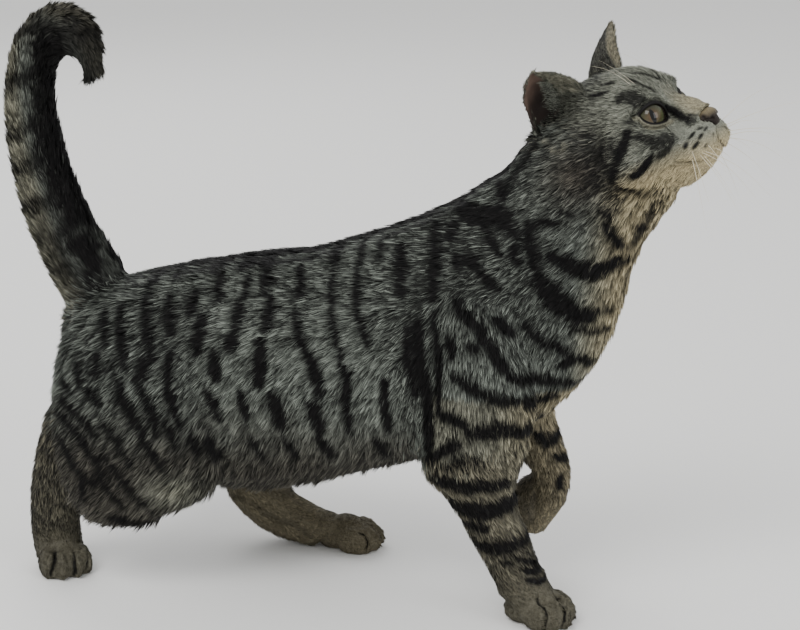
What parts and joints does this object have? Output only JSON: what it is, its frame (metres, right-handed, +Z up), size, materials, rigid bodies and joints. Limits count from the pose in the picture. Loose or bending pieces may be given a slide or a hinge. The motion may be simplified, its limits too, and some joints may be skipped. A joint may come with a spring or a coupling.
{
  "type": "cat",
  "caption": "Life-size short-haired silver tabby cat walking with head raised, tail up and one foreleg lifted.",
  "frame": {"origin": "middle of the footprint of the whole model, on the floor under the paws", "axes": "+X towards the nose, +Y to the cat's left, +Z up"},
  "size_m": [0.5328, 0.1559, 0.3844],
  "materials": {
    "silver_fur": "short silver-grey fur with near-black tabby stripes",
    "dark_fur": "near-black fur with lighter rings",
    "cream_fur": "warm cream and grey fur",
    "paw_fur": "very short grey-brown fur",
    "ear": "thin skin with very short fur",
    "eye": "wet and glossy, yellow-green iris",
    "nose_leather": "moist, finely pebbled dark skin",
    "whisker": "stiff pale hair"
  },
  "bodies": {
    "root": {"eye_right": "eye", "ear_right": "ear", "whisker_right_1": "whisker", "whisker_right_2": "whisker", "whisker_right_3": "whisker", "whisker_right_4": "whisker", "eye_left": "eye", "ear_left": "ear", "whisker_left_1": "whisker", "whisker_left_2": "whisker", "whisker_left_3": "whisker", "whisker_left_4": "whisker", "head": "silver_fur", "nose": "nose_leather", "neck": "cream_fur", "chest": "silver_fur", "belly": "silver_fur", "rump": "silver_fur", "tail_base": "dark_fur", "tail_middle": "dark_fur", "tail_tip": "dark_fur", "upper_arm_right": "silver_fur", "forearm_right": "silver_fur", "paw_fore_right": "paw_fur", "upper_arm_left": "silver_fur", "forearm_left": "silver_fur", "paw_fore_left": "paw_fur", "thigh_right": "silver_fur", "shank_right": "silver_fur", "paw_hind_right": "paw_fur", "thigh_left": "silver_fur", "shank_left": "silver_fur", "paw_hind_left": "paw_fur"}
  },
  "joints": []
}
